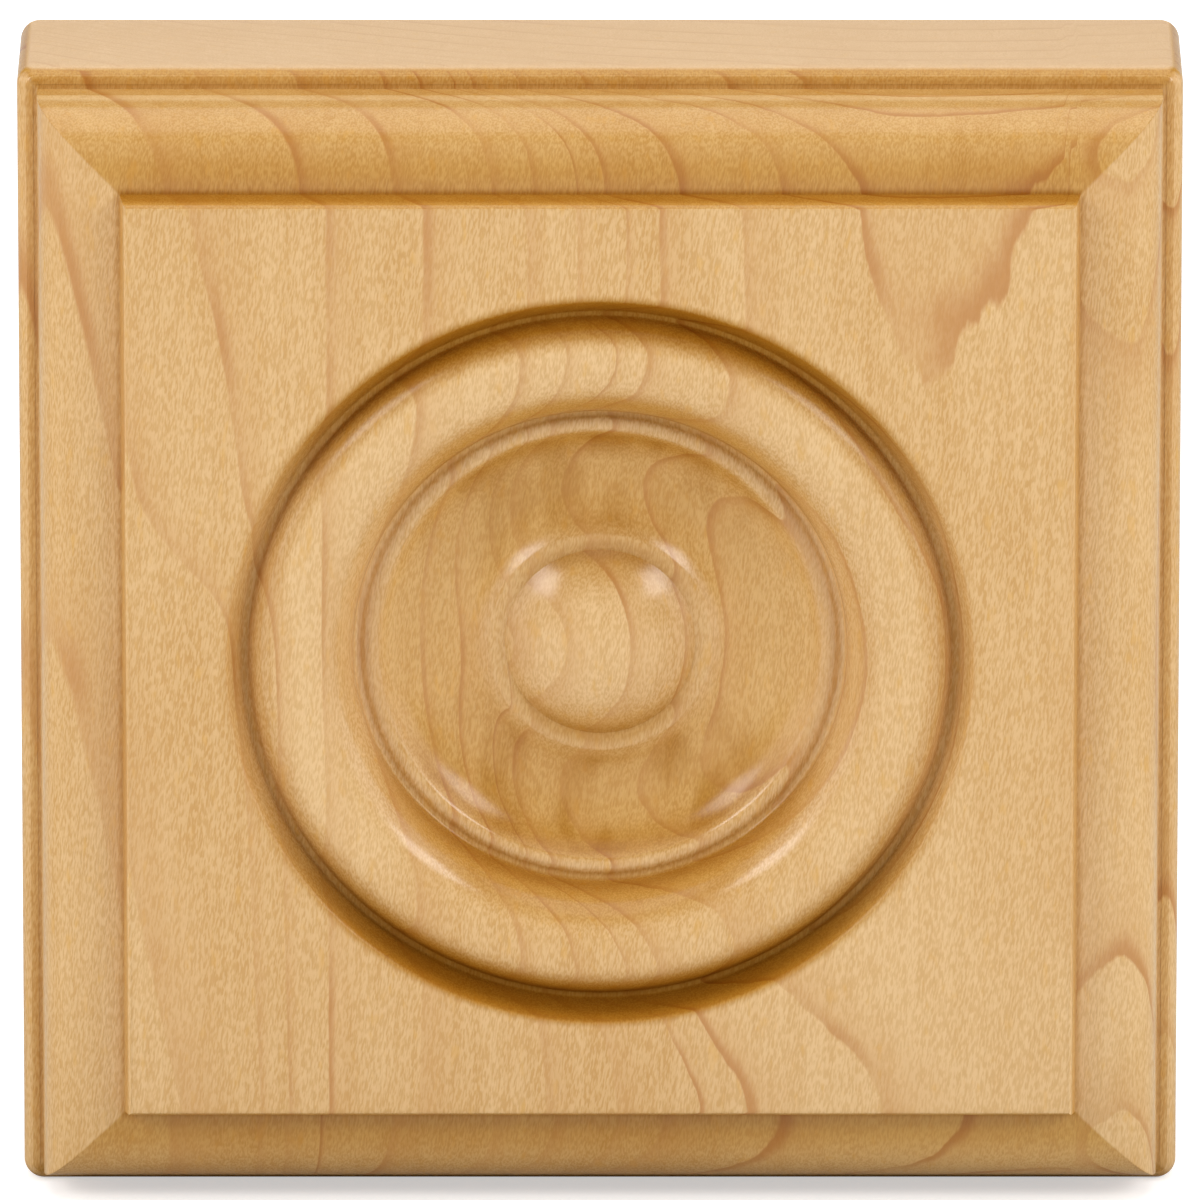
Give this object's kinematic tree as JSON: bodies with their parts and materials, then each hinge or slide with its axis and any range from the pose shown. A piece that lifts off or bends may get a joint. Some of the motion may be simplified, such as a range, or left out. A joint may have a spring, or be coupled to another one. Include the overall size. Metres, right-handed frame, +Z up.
{
  "type": "corner rosette block",
  "caption": "Square maple corner block for door and window casing, with a raised panel inside a mitred moulded edge and a turned bullseye rosette.",
  "frame": {"origin": "middle of the flat back face, where the block meets the wall", "axes": "+Z up along the grain as it is fixed, +Y out of the back into the wall, +X to the right of someone facing the rosette"},
  "size_m": [0.0888, 0.0254, 0.0888],
  "materials": {
    "maple": "clear satin varnish"
  },
  "bodies": {
    "root": {"rosette_block": "maple"}
  },
  "joints": []
}
